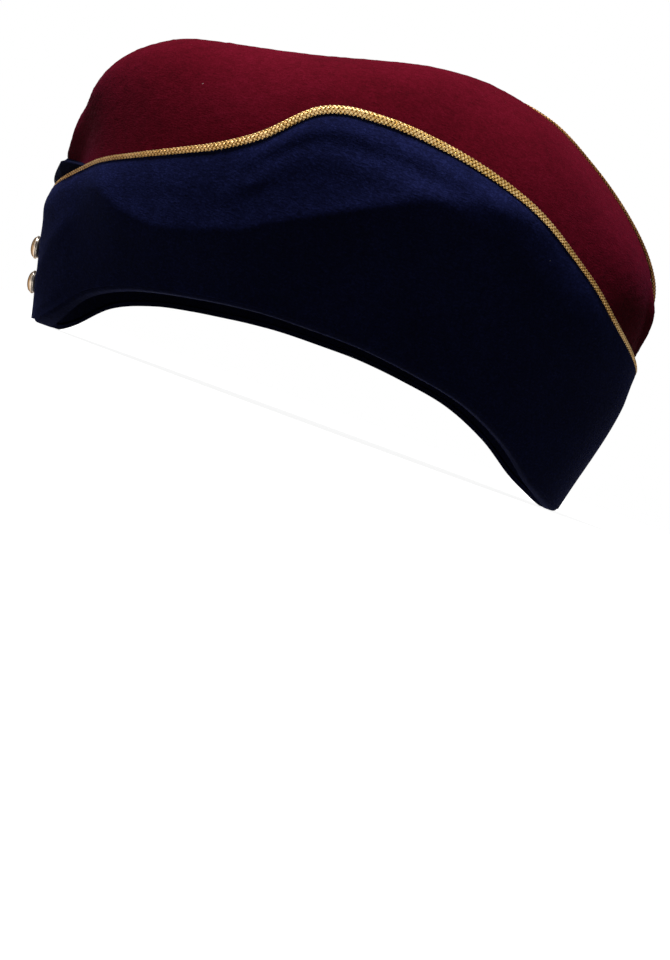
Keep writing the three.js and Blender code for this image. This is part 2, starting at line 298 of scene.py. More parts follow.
def add_shell(name, loops, material, nodes, is_ring=False):
    """Piece made from closed section loops, an array of stations by points by 3."""
    count, size = loops.shape[:2]
    faces = loft_faces(count, size, is_ring)
    return add_piece(name, loops.reshape(-1, 3), faces, material, nodes)


def grid(angles, rows):
    """Angles and row shares as two arrays over every station and row."""
    return np.meshgrid(angles, rows, indexing="ij")


# Band

BAND_DEPTH = 46
LIP_CLOTH = 2.0


def band_loops():
    """Inner band: the body's own wall from the folded rim to the crown seam, offset inward by its cloth."""
    angle, share = grid(np.linspace(-180, 180, CLOTH_STATIONS, endpoint=False), np.linspace(0, 1, BAND_ROWS))
    low = place_at(angle, rim_height(angle) + LIP_CLOTH + GAP)
    high = place_at(angle, rim_height(angle) + BAND_DEPTH - GAP)
    place = lerp(low, high, share)
    flush = np.zeros_like(place)
    return shell_loops(on_body(angle, place, flush), on_body(angle, place, flush - BAND_CLOTH))


# Crown

SEAM_DIP = 1.3
SEAM_DIP_WIDTH = 1.7
SEAM_START = (6, 16)
SEAM_ROLL = 0.6
SEAM_ROLL_PLACE = 3.2
SEAM_ROLL_WIDTH = 2.6
SEAM_ROLL_END = (88, 102)
REAR_FOOT = (154, 168)
REAR_FOOT_ROLL = 1.6
REAR_FOOT_ROLL_PLACE = 1.5
REAR_FOOT_ROLL_WIDTH = 5
REAR_SWELL = 1.2
REAR_SWELL_PLACE = 0.6
REAR_SWELL_WIDTH = 0.17
REAR_SWELL_START = (95, 125)
REAR_SWELL_END = (158, 176)
WAVES_FROM_SEAM = (0, 10)
WAVES_FROM_FOOT = (0, 0.15)
NAP_ROUGHNESS = 0.06
NAP_SEED = 11


def crown_loops(start, end):
    """Crown panel on one side: the body from the band seam to the ridge seam. Near the ridge the cloth
    rolls up into a soft shoulder and then dips to the stitched seam, by two Gaussians of the distance to
    the seam. At the rear foot it rolls over the seam instead. Behind, the cloth swells above the flap by a
    Gaussian of the share of its height. A seeded random nap roughens the outer face."""
    shares = 1 - (1 - np.linspace(0, 1, CLOTH_ROWS)) ** CROWN_ROW_CROWDING
    angle, share = grid(np.linspace(start, end, CLOTH_STATIONS), shares)
    side = np.abs(angle)
    place = lerp(place_at(angle, rim_height(angle) + BAND_DEPTH), 2, share)
    face = body(angle, place)
    steps = np.linalg.norm(np.diff(face, axis=1), axis=-1)
    to_seam = np.concatenate([np.cumsum(steps[:, ::-1], 1)[:, ::-1], np.zeros((len(steps), 1))], 1)
    foot = smooth_step(*REAR_FOOT, side)
    roll = SEAM_ROLL * bell(to_seam, SEAM_ROLL_PLACE, SEAM_ROLL_WIDTH)
    roll = roll * (1 - smooth_step(*SEAM_ROLL_END, side))
    foot_roll = REAR_FOOT_ROLL * foot * bell(to_seam, REAR_FOOT_ROLL_PLACE, REAR_FOOT_ROLL_WIDTH)
    dip = SEAM_DIP * bell(to_seam, 0, SEAM_DIP_WIDTH) * (1 - foot)
    seam = (roll + foot_roll - dip) * smooth_step(*SEAM_START, side)
    stretch = smooth_step(*REAR_SWELL_START, side) * (1 - smooth_step(*REAR_SWELL_END, side))
    swell = REAR_SWELL * bell(share, REAR_SWELL_PLACE, REAR_SWELL_WIDTH) * stretch
    ease = smooth_step(*WAVES_FROM_SEAM, to_seam) * smooth_step(*WAVES_FROM_FOOT, share)
    offset = seam + swell + ease * soft_waves(angle, face[..., 2])
    nap = np.random.default_rng(NAP_SEED).normal(0, NAP_ROUGHNESS, offset.shape)
    out = normal(angle, place)
    outer = face + out * (offset + nap)[..., None]
    inner = face + out * (offset - CROWN_CLOTH)[..., None]
    loops = shell_loops(outer, inner)
    toward = np.sign(-start - end)
    loops[..., 1] = toward * np.maximum(toward * loops[..., 1], GAP / 2)
    return loops


# Flaps, with the lap of the left one over the right one at the front centre

RIM_STAND = 0.6
RIM_ROUND = 1.9
INNER_ROUND = 0.3
FULL_STAND_SHARE = 0.8
CENTRE_ANGLE = 0.35
CENTRE_CLEAR = 0.06
REAR_CLEAR = 0.01
LAP_ANGLE = 9
LAP_LIFT = FLAP_CLOTH + 3 * GAP
LAP_END = (10, 32)
# Stations of the lap: close together from its free edge on, and then even
LAP_EDGE_STATIONS = np.array([0, 0.1, 0.25, 0.45, 0.7, 1])
LAP_EVEN_FROM = 1.5
LAP_EVEN_STATIONS = 12
EDGE_ROUND = 0.9
EDGE_ROUND_REACH = 0.98

# Height of the soft crease along each flap, by angle
CREASE_ANGLES = (30, 38.5, 45.5, 52.5, 59.5, 70.5, 77.5, 85.5, 93.5, 102, 109.5, 117.5, 130)
CREASE_HEIGHTS = (61, 56.8, 51.6, 48.8, 50.9, 57.2, 65.4, 74, 83.3, 92, 95, 96.8, 93)
CREASE_START = (28, 44)
CREASE_END = (112, 134)
CREASE_SWELL = 2.8
CREASE_ABOVE = 9
CREASE_BELOW = 13
CREASE_SOFTNESS = 2.2
# Ripples under the high point of the edge: height, depth below the edge and width
RIPPLES = ((0.9, 7, 3), (0.7, 17, 4))
RIPPLES_START = (62, 76)
RIPPLES_END = (100, 118)
EDGE_TUCK = 0.7
EDGE_TUCK_DEPTH = 2.0
EDGE_TUCK_START = (4, 24)
EDGE_TUCK_END = (150, 174)
# The upright fold near the front and the crease at its foot lean: their angle grows with the height
FOLD = 0.8
FOLD_ANGLE = 2.3
FOLD_LEAN = 0.57
FOLD_WIDTH = 4
FOLD_HEIGHTS = (49, 33)
FOOT_CREASE = 0.7
FOOT_CREASE_ANGLE = 9.4
FOOT_CREASE_LEAN = 1.2
FOOT_CREASE_WIDTH = 2.2
FOOT_CREASE_HEIGHTS = (19, 12)
FRONT_ROLL = 1.1
FRONT_ROLL_HEIGHT = 46
FRONT_ROLL_WIDTH = 5
FRONT_ROLL_END = (8, 24)
REAR_SEAM = 0.6
REAR_SEAM_WIDTH = 1.1
RELIEF_FROM_RIM = (2, 14)
FLAP_WAVE_TURN = 40


def flap_top(angle):
    """Place of the flap's cut edge, just under the cord."""
    return place_at(angle, column("flap", angle) - CORD_RADIUS - GAP)


def lap_lift(angle):
    """Extra stand-off of the left flap where it lies over the right one."""
    return LAP_LIFT * (1 - smooth_step(*LAP_END, angle))


def no_lift(angle):
    """The right flap lies straight on the body."""
    return np.zeros_like(angle)


def edge_tuck(angle):
    """How far the flap's edge is drawn in under the cord, none at the front and rear centre."""
    side = np.abs(angle)
    return EDGE_TUCK * smooth_step(*EDGE_TUCK_START, side) * (1 - smooth_step(*EDGE_TUCK_END, side))


def flap_relief(angle, height):
    """Folds pressed into a flap, as an outward offset: a soft crease along the side, raised by an exponential
    of the distance from its line, ripples under the high point of the edge, a tuck under the cord, the soft
    upright fold near the front with a crease at its foot, a roll under the front cord, the rear seam, and
    slow waves."""
    side = from_front(angle)
    below = column("flap", angle) - CORD_RADIUS - height
    from_line = height - np.interp(side, CREASE_ANGLES, CREASE_HEIGHTS)
    reach = np.where(from_line > 0, CREASE_ABOVE, CREASE_BELOW)
    softened = np.sqrt(from_line ** 2 + CREASE_SOFTNESS ** 2) - CREASE_SOFTNESS
    stretch = smooth_step(*CREASE_START, side) * (1 - smooth_step(*CREASE_END, side))
    crease = CREASE_SWELL * stretch * np.exp(-softened / reach)
    high = smooth_step(*RIPPLES_START, side) * (1 - smooth_step(*RIPPLES_END, side))
    ripples = high * sum(size * bell(below, depth, width) for size, depth, width in RIPPLES)
    tuck = -edge_tuck(side) * np.exp(-np.clip(below, 0, None) / EDGE_TUCK_DEPTH)
    fold = FOLD * bell(side, FOLD_ANGLE + FOLD_LEAN * height, FOLD_WIDTH) * smooth_step(*FOLD_HEIGHTS, height)
    foot_line = side - FOOT_CREASE_LEAN * height
    foot = -FOOT_CREASE * bell(foot_line, FOOT_CREASE_ANGLE, FOOT_CREASE_WIDTH)
    foot = foot * smooth_step(*FOOT_CREASE_HEIGHTS, height)
    roll = FRONT_ROLL * bell(height, FRONT_ROLL_HEIGHT, FRONT_ROLL_WIDTH)
    roll = roll * (1 - smooth_step(*FRONT_ROLL_END, side))
    seam = -REAR_SEAM * bell(side, 180, REAR_SEAM_WIDTH)
    rim = smooth_step(*RELIEF_FROM_RIM, height - rim_height(angle))
    waves = soft_waves(angle + FLAP_WAVE_TURN, height)
    return (crease + waves) * rim + ripples + tuck + fold + foot + roll + seam


def flap_stand(angle, place):
    """Stand-off of a flap from the body, which grows up the flap."""
    share = smooth_step(0, FULL_STAND_SHARE, place / flap_top(angle))
    return lerp(RIM_STAND, column("stand_off", angle), share)


def flap_point(angle, place, lift, offset):
    """Point of a flap: the body moved out by the flap's stand-off and by its folds."""
    height = body(angle, place)[..., 2]
    return on_body(angle, place, flap_stand(angle, place) + lift + flap_relief(angle, height) + offset)


def flap_loops(angles, lift, lip_end, edge_round):
    """Section loops of a flap: a lip under the band, a quarter-round fold at the rim, and the wall up to the
    cut edge. The edge round pulls the two faces together where the cloth ends in a free edge."""
    at_zero = np.zeros_like(angles)
    rim = body(angles, at_zero)
    away = level_out(angles, at_zero)
    rim_z = rim_height(angles)
    rim_out = RIM_STAND + lift

    def at_rim(out, up):
        point = rim + away * out[:, None]
        point[:, 2] = rim_z + up
        return point

    def wall(start_height, offset):
        angle, share = grid(angles, np.linspace(0, 1, CLOTH_ROWS))
        start = place_at(angles, rim_z + start_height)
        place = lerp(start[:, None], flap_top(angle), share)
        return flap_point(angle, place, lift[:, None], offset[:, None] + 0 * share)

    def corner(out, radius, floor):
        turns = np.linspace(0, np.pi / 2, ROUND_STEPS)[:-1]
        rows = [at_rim(out - radius + radius * np.sin(t), floor + radius * (1 - np.cos(t))) for t in turns]
        return np.stack(rows, 1)

    outer = np.concatenate([
        at_rim(lip_end, 0)[:, None],
        corner(rim_out + FLAP_CLOTH - edge_round, RIM_ROUND, 0),
        wall(RIM_ROUND, FLAP_CLOTH - edge_round),
    ], 1)
    inner = np.concatenate([
        at_rim(lip_end, LIP_CLOTH)[:, None],
        corner(rim_out + edge_round, INNER_ROUND, LIP_CLOTH),
        wall(LIP_CLOTH + RIM_ROUND, edge_round),
    ], 1)
    return shell_loops(outer, inner)


def free_edge_round(angles, end):
    """How far each face is pulled in near a free edge: a half round of the cloth over the last degree."""
    t = np.clip(1 - np.abs(angles - end), 0, 1)
    return EDGE_ROUND * FLAP_CLOTH / 2 * (1 - np.sqrt(1 - EDGE_ROUND_REACH * t * t))


def left_flap_loops():
    """Left flap, from its free edge over the right flap round to the rear centre."""
    lapped = np.concatenate([
        LAP_EDGE_STATIONS - LAP_ANGLE,
        np.linspace(LAP_EVEN_FROM - LAP_ANGLE, -CENTRE_ANGLE, LAP_EVEN_STATIONS),
    ])
    hem = np.full_like(lapped, RIM_STAND + LAP_LIFT - GAP)
    over = flap_loops(lapped, np.full_like(lapped, LAP_LIFT), hem, free_edge_round(lapped, -LAP_ANGLE))
    folded = np.linspace(CENTRE_ANGLE, 180 - CENTRE_ANGLE, CLOTH_STATIONS)
    under = flap_loops(folded, lap_lift(folded), np.full_like(folded, -BAND_CLOTH), 0 * folded)
    under[..., 1] = np.minimum(under[..., 1], -CENTRE_CLEAR)
    under[-1, :, 1] = -REAR_CLEAR
    return np.concatenate([over, under])


def right_flap_loops():
    """Right flap, from the rear centre to its end under the lap."""
    angles = np.linspace(CENTRE_ANGLE - 180, -CENTRE_ANGLE, CLOTH_STATIONS)
    loops = flap_loops(angles, no_lift(angles), np.full_like(angles, -BAND_CLOTH), 0 * angles)
    loops[..., 1] = np.maximum(loops[..., 1], CENTRE_CLEAR)
    loops[0, :, 1] = REAR_CLEAR
    return loops


# Front peak. Crest and underside of its roll are shares of its height, at the front and at the sides.

PEAK_HALF_ANGLE = 31.5
PEAK_SEAT = 0.6
PEAK_SEAT_FADE = (0.7, 1)
PEAK_FOOT = 47
PEAK_TOP = 66.7
PEAK_FALL = 4
PEAK_ROLL = 7.1
PEAK_ROLL_SHARE = 0.85
PEAK_SIDES = (8, 20)
PEAK_CREST = (0.2, 0.8)
PEAK_UNDERSIDE = (0.3, 0.9)


def peak_loops():
    """Front peak: a tongue behind the flaps that swells level outward into a soft roll above their cords.
    Below its crest the roll is part of an ellipse, and above it a cosine. The crest is low at the front
    and rises to the sides, where the roll leans out over the cord."""
    stations = np.linspace(-PEAK_HALF_ANGLE, PEAK_HALF_ANGLE, PEAK_STATIONS)
    angle, row = grid(stations, np.linspace(0, 2, PEAK_ROWS))
    top = PEAK_TOP - PEAK_FALL * (angle / PEAK_HALF_ANGLE) ** 2
    cord_top = column("flap", angle) + CORD_RADIUS - GAP
    neck = np.minimum(cord_top, top - PEAK_CLOTH)
    share = np.clip(row - 1, 0, 1)
    height = np.where(row < 1, lerp(PEAK_FOOT, neck, row), lerp(neck, top, share))
    toward_side = smooth_step(*PEAK_SIDES, np.abs(angle))
    crest = lerp(*PEAK_CREST, toward_side)
    below = np.clip((crest - share) / lerp(*PEAK_UNDERSIDE, toward_side), 0, 1)
    above = np.clip((share - crest) / (1 - crest), 0, 1)
    swell = np.where(row > 1, np.sqrt(1 - below ** 2) * np.cos(above * np.pi / 2), 0)
    roll = np.minimum(PEAK_ROLL, PEAK_ROLL_SHARE * np.clip(top - cord_top, 0, None))
    place = place_at(angle, height)
    seat = 1 - smooth_step(*PEAK_SEAT_FADE, share)
    inner = on_body(angle, place, PEAK_SEAT * seat)
    reach = lerp(PEAK_TOP_CLOTH, PEAK_CLOTH, seat) + roll * swell
    return shell_loops(inner + level_out(angle, place) * reach[..., None], inner)


# Braided cord: shares are of the cord's radius

STRANDS_EACH_WAY = 4
BRAID_LEAD = 5.6
BRAID_LEAD_POWER = 0.25
BRAID_STEPS = 20
BRAID_MIDDLE = 0.66
BRAID_WEAVE = 0.18
STRAND_WIDTH = 0.29
STRAND_THICKNESS = 0.2
STRAND_SIDES = 6
CORE_SHARE = 0.66
CORE_SIDES = 8
CORE_STRIDE = 6

# Radius of the cord on the flaps' edges, by angle: it is pulled thin at the front and behind
CORD_SIZE_ANGLES = (0, 20, 40, 50, 60, 70, 98, 108, 116, 126, 140, 180)
CORD_SIZES = (0.95, 1.0, 1.15, 1.35, 1.55, 1.75, 1.8, 1.7, 1.5, 1.3, 1.18, 1.08)
CORD_SINK = 0.25
FRONT_CORD_SHIFT = 0.7

# Cord in the ridge seam, and the height of its middle over the seam
RIDGE_CORD_RADIUS = 0.95
RIDGE_CORD_SEAT = 0.1
RIDGE_CORD_RISE = 0.6
RIDGE_CORD_RISE_ANGLE = 106
RIDGE_CORD_RISE_SPREAD = 9
RIDGE_CORD_SINK = 1.4

# Stretches of the three cords
LEFT_CORD = (-LAP_ANGLE, 179.1)
RIGHT_CORD = (-179.1, -11.7)
CROWN_CORD = (20, 180)


def by_turns(path, frames, radius):
    """Turns of the braid at even steps, then the length along it, the path, its frame vectors and its radius
    there. One turn takes the braid's lead times the fourth root of the radius."""
    steps = np.linalg.norm(np.diff(path, axis=0), axis=1)
    lengths = np.concatenate([[0], np.cumsum(steps)])
    turns = np.concatenate([[0], np.cumsum(steps / (BRAID_LEAD * radius[1:] ** BRAID_LEAD_POWER))])
    at = np.linspace(0, turns[-1], int(turns[-1] * BRAID_STEPS) + 1)

    def sample(rows):
        return np.stack([np.interp(at, turns, rows[:, k]) for k in range(rows.shape[1])], -1)

    units = [unit(sample(rows)) for rows in frames]
    return at, np.interp(at, turns, lengths), sample(path), units, np.interp(at, turns, radius)


def tube_parts(centres, across, through, sides, start):
    """Points and faces of closed tubes, one per row of centres. A section is an ellipse with the half axes
    across and through, and both ends are flat."""
    tubes, steps = centres.shape[:2]
    turn = (np.arange(sides) + 0.5) * 2 * np.pi / sides
    ring = across[:, :, None] * np.cos(turn)[:, None] + through[:, :, None] * np.sin(turn)[:, None]
    points = (centres[:, :, None] + ring).reshape(-1, 3)
    t, i, k = np.meshgrid(np.arange(tubes), np.arange(steps - 1), np.arange(sides), indexing="ij")
    here = start + (t * steps + i) * sides
    after = (k + 1) % sides
    skin = np.stack([here + k, here + after, here + sides + after, here + sides + k], -1).reshape(-1, 4)
    first = start + np.arange(tubes)[:, None] * steps * sides + np.arange(sides)[::-1]
    last = start + (np.arange(tubes)[:, None] * steps + steps - 1) * sides + np.arange(sides)
    return points, skin.tolist() + first.tolist() + last.tolist()


def add_braid(name, path, side, up, radius, slot, material, nodes):
    """Braided cord along a path: strands wind both ways round it as helices, and each one's distance from
    the middle follows a cosine of as many waves a turn as there are strands each way, so that it passes
    over and under the strands it meets. Its profile map holds the distance from the middle, as a share of
    the radius, and the length along the cord."""
    turns, along, path, (side, up), size = by_turns(path, (side, up), radius)
    turn = 2 * np.pi * turns
    ways = np.repeat([1, -1], STRANDS_EACH_WAY)[:, None]
    phase = np.tile(np.arange(STRANDS_EACH_WAY), 2)[:, None] * 2 * np.pi / STRANDS_EACH_WAY
    theta = ways * turn + phase
    reach = size * (BRAID_MIDDLE + ways * BRAID_WEAVE * np.cos(STRANDS_EACH_WAY * turn))
    outward = np.cos(theta)[..., None] * side + np.sin(theta)[..., None] * up
    centres = path + outward * reach[..., None]
    forward = unit(np.gradient(centres, axis=1))
    across = unit(np.cross(forward, outward))
    through = np.cross(across, forward)
    half = size[None, :, None]
    width, thickness = half * STRAND_WIDTH, half * STRAND_THICKNESS
    points, faces = tube_parts(centres, across * width, through * thickness, STRAND_SIDES, 0)
    middle, level, upright = (rows[None, ::CORE_STRIDE] for rows in (path, side, up))
    core_half = half[:, ::CORE_STRIDE] * CORE_SHARE
    core, core_faces = tube_parts(middle, level * core_half, upright * core_half, CORE_SIDES, len(points))

    def on_strands(rows):
        return np.repeat(np.concatenate([rows] * len(centres)), STRAND_SIDES, 0)

    uv = np.zeros((len(points) + len(core), 2))
    uv[:len(points), 0] = np.linalg.norm(points - on_strands(path), axis=1) / on_strands(size)
    uv[:len(points), 1] = on_strands(along)
    return add_piece(name, np.concatenate([points, core]), faces + core_faces, material, nodes, uv)


def flap_route(stretch, lift_at):
    """Middle of the cord on a flap's edge, with its side and up directions and its radius."""
    angles = np.linspace(*stretch, CORD_STATIONS)

    def edge(at):
        return flap_point(at, flap_top(at), lift_at(at), FLAP_CLOTH / 2 + 0 * at)

    tangent = unit(edge(angles + ANGLE_STEP) - edge(angles - ANGLE_STEP))
    away = normal(angles, flap_top(angles))
    side = unit(away - tangent * np.sum(away * tangent, 1, keepdims=True))
    up = np.cross(side, tangent)
    size = np.interp(np.abs(angles), CORD_SIZE_ANGLES, CORD_SIZES)
    shift = edge_tuck(angles) - FRONT_CORD_SHIFT * (1 - smooth_step(*EDGE_TUCK_START, np.abs(angles)))
    return edge(angles) + side * shift[:, None] + up * (size - CORD_SINK)[:, None], side, up, size


def ridge_route(stretch):
    """Middle of the cord in the ridge seam, with its side and up directions and its radius. It stands
    proud at the rear shoulder, by a Gaussian, and is sunk at the rear foot."""
    angles = np.linspace(*stretch, CORD_STATIONS)
    out = ridge_out(angles)
    seat = RIDGE_CORD_SEAT + RIDGE_CORD_RISE * bell(angles, RIDGE_CORD_RISE_ANGLE, RIDGE_CORD_RISE_SPREAD)
    seat = seat - RIDGE_CORD_SINK * smooth_step(*REAR_FOOT, angles)
    middle = body(angles, np.full_like(angles, 2.0)) + out * seat[:, None]
    middle[:, 1] = 0
    side = np.tile([0.0, -1.0, 0.0], (len(angles), 1))
    return middle, side, out, np.full_like(angles, RIDGE_CORD_RADIUS)


# Buttons: height of each seat on the front edge, then the sizes of the drum, its bead and the dome

BUTTON_HEIGHTS = {"button_lower": 16.2, "button_upper": 29.9}
BUTTON_RADIUS = 4.7
BUTTON_RIM = 0.8
BUTTON_DOME = 1.9
SHANK_LENGTH = 1.2
# Drum as shares of the button's radius and of the shank's length
DRUM_PROFILE = np.array([[0.26, 0.0], [0.3, 0.05], [0.7, 0.1], [0.86, 0.3], [0.92, 0.8]])
BEAD_SHARE = 0.07
BEAD_RISE = 0.55
BEAD_TURNS = np.linspace(-np.pi / 2, np.pi * 0.8, 9)
DOME_SHARE = 0.9
DOME_TURNS = np.linspace(np.pi / 2, 0.06, 16)


def spin_parts(profile, sides, origin, axis):
    """Closed solid of revolution: the profile's radius and height are turned about the axis in even steps."""
    first = unit(np.cross(axis, [0.0, 1.0, 0.0]))
    second = np.cross(axis, first)
    turn = np.arange(sides) * 2 * np.pi / sides
    spoke = np.cos(turn)[:, None] * first + np.sin(turn)[:, None] * second
    rings = origin + profile[:, None, :1] * spoke + profile[:, None, 1:] * axis
    ends = origin + profile[[0, -1], 1:] * axis
    i, k = np.meshgrid(np.arange(len(profile) - 1), np.arange(sides), indexing="ij")
    here, ahead, after = i * sides, (i + 1) * sides, (k + 1) % sides
    skin = np.stack([here + k, here + after, ahead + after, ahead + k], -1).reshape(-1, 4)
    foot, top = len(rings) * sides, (len(rings) - 1) * sides
    k = np.arange(sides)
    after = (k + 1) % sides
    low = np.stack([np.full(sides, foot), after, k], -1)
    high = np.stack([np.full(sides, foot + 1), top + k, top + after], -1)
    return np.concatenate([rings.reshape(-1, 3), ends]), skin.tolist() + low.tolist() + high.tolist()


def button_profile():
    """Radius and height of a button from the back of its shank to the crest of its dome: a deep drum with a
    beaded edge, under a dome that is half an ellipse."""
    drum = DRUM_PROFILE * [BUTTON_RADIUS, SHANK_LENGTH]
    bead = np.stack([
        BUTTON_RADIUS * (1 - BEAD_SHARE + BEAD_SHARE * np.cos(BEAD_TURNS)),
        SHANK_LENGTH + BEAD_RISE * BUTTON_RIM * (1 + np.sin(BEAD_TURNS)),
    ], -1)
    dome = np.stack([
        DOME_SHARE * BUTTON_RADIUS * np.sin(DOME_TURNS),
        SHANK_LENGTH + BUTTON_RIM + BUTTON_DOME * np.cos(DOME_TURNS),
    ], -1)
    return np.concatenate([drum, bead, dome])


def add_button(node, height, material):
    """One domed button, square to the flap at the front centre. Its profile map holds the height above its
    seat in millimetres."""
    zero = np.zeros(1)
    place = place_at(zero, np.array([float(height)]))
    out = normal(zero, place)[0]
    seat = on_body(zero, place, flap_stand(zero, place) + LAP_LIFT + FLAP_CLOTH + GAP)[0]
    points, faces = spin_parts(button_profile(), BUTTON_SIDES, seat, out)
    uv = np.zeros((len(points), 2))
    uv[:, 0] = (points - seat) @ out
    return add_piece(node + "_gilt", points, faces, material, (node,), uv)


# Finishes

class Socket:
    """An output in a node tree, for use in Python expressions."""

    def __init__(self, nodes, link):
        self.nodes = nodes
        self.link = link

    def __add__(self, other):
        return self.nodes.math("ADD", self, other)

    def __sub__(self, other):
        return self.nodes.math("SUBTRACT", self, other)

    def __rsub__(self, other):
        return self.nodes.math("SUBTRACT", other, self)

    def __mul__(self, other):
        return self.nodes.math("MULTIPLY", self, other)

    def __gt__(self, other):
        return self.nodes.math("GREATER_THAN", self, other)

    def __lt__(self, other):
        return self.nodes.math("LESS_THAN", self, other)

    __radd__ = __add__
    __rmul__ = __mul__


class Nodes:
    """A node tree with one output, built up by expressions."""

    def __init__(self, tree, output):
        self.tree = tree
        self.tree.nodes.clear()
        self.output = self.tree.nodes.new(output)

    def feed(self, socket, value):
        """Links a Socket, or sets a plain value."""
        if isinstance(value, Socket):
            self.tree.links.new(value.link, socket)
        else:
            socket.default_value = value

    def show(self, surface):
        """Links a shader to the tree's output."""
        self.feed(self.output.inputs["Surface"], surface)

    def node(self, kind, settings=None, inputs=None, output=0):
        """Any node: its settings first, a ramp's stops among them, and then its sockets."""
        made = self.tree.nodes.new(kind)
        for key, value in (settings or {}).items():
            if key == "stops":
                while len(made.color_ramp.elements) < len(value):
                    made.color_ramp.elements.new(0.5)
                for element, (position, colour) in zip(made.color_ramp.elements, value):
                    element.position = position
                    element.color = (*colour, 1)
            else:
                setattr(made, key, value)
        for key, value in (inputs or {}).items():
            self.feed(made.inputs[key], value)
        return Socket(self, made.outputs[output])

    def math(self, operation, first, second=0.0):
        """One Math node on one or two values."""
        return self.node("ShaderNodeMath", {"operation": operation}, {0: first, 1: second})

    def mix(self, share, first, second):
        """Mix of two plain values."""
        return self.node("ShaderNodeMix", {}, {0: share, 2: first, 3: second})

    def blend(self, share, first, second):
        """Mix of two colours."""
        return self.node("ShaderNodeMix", {"data_type": "RGBA"}, {0: share, 6: first, 7: second}, 2)

    def times(self, first, second):
        """Product of two colours."""
        settings = {"data_type": "RGBA", "blend_type": "MULTIPLY"}
        return self.node("ShaderNodeMix", settings, {0: 1.0, 6: first, 7: second}, 2)

    def ramp(self, value, stops):
        """Colour ramp through (position, colour) stops."""
        return self.node("ShaderNodeValToRGB", {"stops": stops}, {"Fac": value})

    def part(self, vector, axis):
        """One part of a vector, X, Y or Z."""
        return self.node("ShaderNodeSeparateXYZ", {}, {0: vector}, axis)


class Finish(Nodes):
    """A material with one Principled shader."""

    def __init__(self, name):
        self.material = bpy.data.materials.new(name)
        self.material.use_nodes = True
        super().__init__(self.material.node_tree, "ShaderNodeOutputMaterial")
        self.shader = self.tree.nodes.new("ShaderNodeBsdfPrincipled")
        self.show(Socket(self, self.shader.outputs[0]))

    def place(self):
        """Place in the frame, in metres."""
        return self.node("ShaderNodeTexCoord", output="Object")

    def profile(self, axis):
        """One part of the piece's own profile map."""
        return self.part(self.node("ShaderNodeUVMap", {"uv_map": "profile"}), axis)

    def noise(self, vector, scale, detail, roughness):
        """Noise between 0 and 1, by cells of 1 / scale metres."""
        inputs = {"Vector": vector, "Scale": scale, "Detail": detail, "Roughness": roughness}
        return self.node("ShaderNodeTexNoise", {}, inputs)

    def bump(self, height, distance, strength):
        """Bump from a height between 0 and 1, with its full relief in metres."""
        return self.node("ShaderNodeBump", {}, {"Height": height, "Distance": distance, "Strength": strength})

    def surface(self, **sockets):
        """Sets the shader's sockets, named with underscores for spaces."""
        for key, value in sockets.items():
            self.feed(self.shader.inputs[key.replace("_", " ")], value)
        return self.material


# Direction and fineness of the wool's matted fibres, along the cloth and across it
FIBRES_ALONG = {"Rotation": (0, 0.2, 0), "Scale": (420, 600, 1700)}
FIBRES_ACROSS = {"Rotation": (0, 1.2, 0.2), "Scale": (500, 700, 2000)}
# Lint: cells to the metre, size of a speck in its cell, share of the cells without one, and its strength
LINT_CELLS = 55.0
LINT_SIZE = 0.018
LINT_FREE = 0.82
LINT_STRENGTH = 0.5


def milled_wool(name, dark, middle, light, sheen_tint, sheen, lint):
    """Milled wool cloth: matted fibres as noise stretched along the cloth and across it, over fine tufts,
    with slow mottling and a few pale specks of lint."""
    finish = Finish(name)
    place = finish.place()
    tufts = finish.noise(place, scale=1100, detail=3, roughness=0.7)
    along = finish.node("ShaderNodeMapping", {}, {"Vector": place, **FIBRES_ALONG})
    across = finish.node("ShaderNodeMapping", {}, {"Vector": place, **FIBRES_ACROSS})
    fibres = finish.noise(along, 1, 2, 0.6) * 0.6 + finish.noise(across, 1, 2, 0.6) * 0.4
    mottle = finish.noise(place, scale=240, detail=3, roughness=0.6)
    cloud = finish.noise(place, scale=30, detail=2, roughness=0.5)
    shade = tufts * 0.55 + fibres * 0.45 + mottle * 0.3 + cloud * 0.25 - 0.275
    colour = finish.ramp(shade, [(0.28, dark), (0.5, middle), (0.76, light)])
    cells = {"Vector": place, "Scale": LINT_CELLS}
    distance = finish.node("ShaderNodeTexVoronoi", {}, cells)
    centre = finish.node("ShaderNodeTexVoronoi", {}, cells, "Position")
    pick = finish.node("ShaderNodeTexWhiteNoise", {}, {"Vector": centre}, "Value")
    specks = (distance < LINT_SIZE) * (pick > LINT_FREE)
    return finish.surface(
        Base_Color=finish.blend(specks * LINT_STRENGTH, colour, lint),
        Roughness=0.9 + (mottle - 0.5) * 0.15,
        Normal=finish.bump(tufts * 0.5 + fibres * 0.5 + mottle * 0.3, distance=0.0006, strength=0.6),
        Specular_IOR_Level=0.02, Sheen_Weight=sheen, Sheen_Roughness=0.45, Sheen_Tint=sheen_tint)


# Gold of the cord, by the distance from its middle as a share of its radius: dark brown in the gaps and on
# the core as painted shade, pale on the crests as a painted highlight
GOLD_SHADE_AND_HIGHLIGHT_STOPS = [
    (0.54, (0.03, 0.014, 0.003)), (0.72, (0.26, 0.125, 0.018)),
    (0.86, (0.7, 0.4, 0.08)), (1.02, (0.98, 0.71, 0.32))]
# Painted shade on the cord from the front (0) to the rear (1) of the cap: most at the front, some behind
FRONT_REAR_SHADE_STOPS = [
    (0.08, (0.47, 0.4, 0.42)), (0.22, (0.76, 0.67, 0.66)), (0.4, (0.95, 0.92, 0.95)), (0.6, (1, 1, 1)),
    (0.72, (1, 1, 1)), (0.84, (0.72, 0.68, 0.7)), (0.96, (0.55, 0.52, 0.52))]
# Darker, browner tint of the cord near the centre plane, where the ridge cord lies, by the distance from it
# in centimetres
RIDGE_STOPS = [(0.2, (0.66, 0.5, 0.42)), (0.35, (1, 1, 1))]
